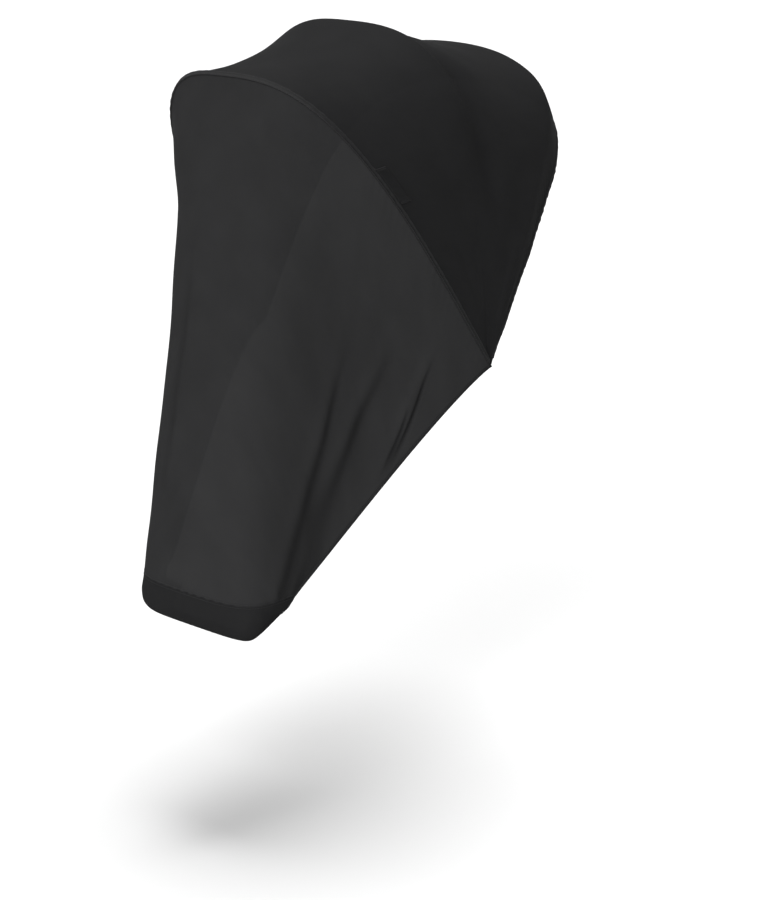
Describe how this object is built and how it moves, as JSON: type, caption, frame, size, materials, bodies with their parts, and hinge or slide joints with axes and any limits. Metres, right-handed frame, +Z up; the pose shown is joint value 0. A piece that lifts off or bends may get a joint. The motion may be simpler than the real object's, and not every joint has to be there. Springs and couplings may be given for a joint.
{
  "type": "stroller mosquito net",
  "caption": "Sheer stretch net that covers a stroller's raised canopy and seat, with a footrest pocket.",
  "frame": {"origin": "where the crown of the canopy's middle bow carries the net, just under the cloth", "axes": "+Z up, -Y towards the net's front, +X to the right of the net seen from its front"},
  "size_m": [0.4502, 0.6277, 0.8062],
  "materials": {
    "net": "black stretch mesh, matte, sheer",
    "pocket_net": "black stretch mesh, doubled",
    "tape": "black binding tape, fine ribs",
    "tab": "black satin tape, plain"
  },
  "bodies": {
    "root": {"hood_panel": "net", "front_panel": "net", "foot_pocket": "pocket_net", "rim_tape": "tape", "label_tab": "tab"}
  },
  "joints": []
}
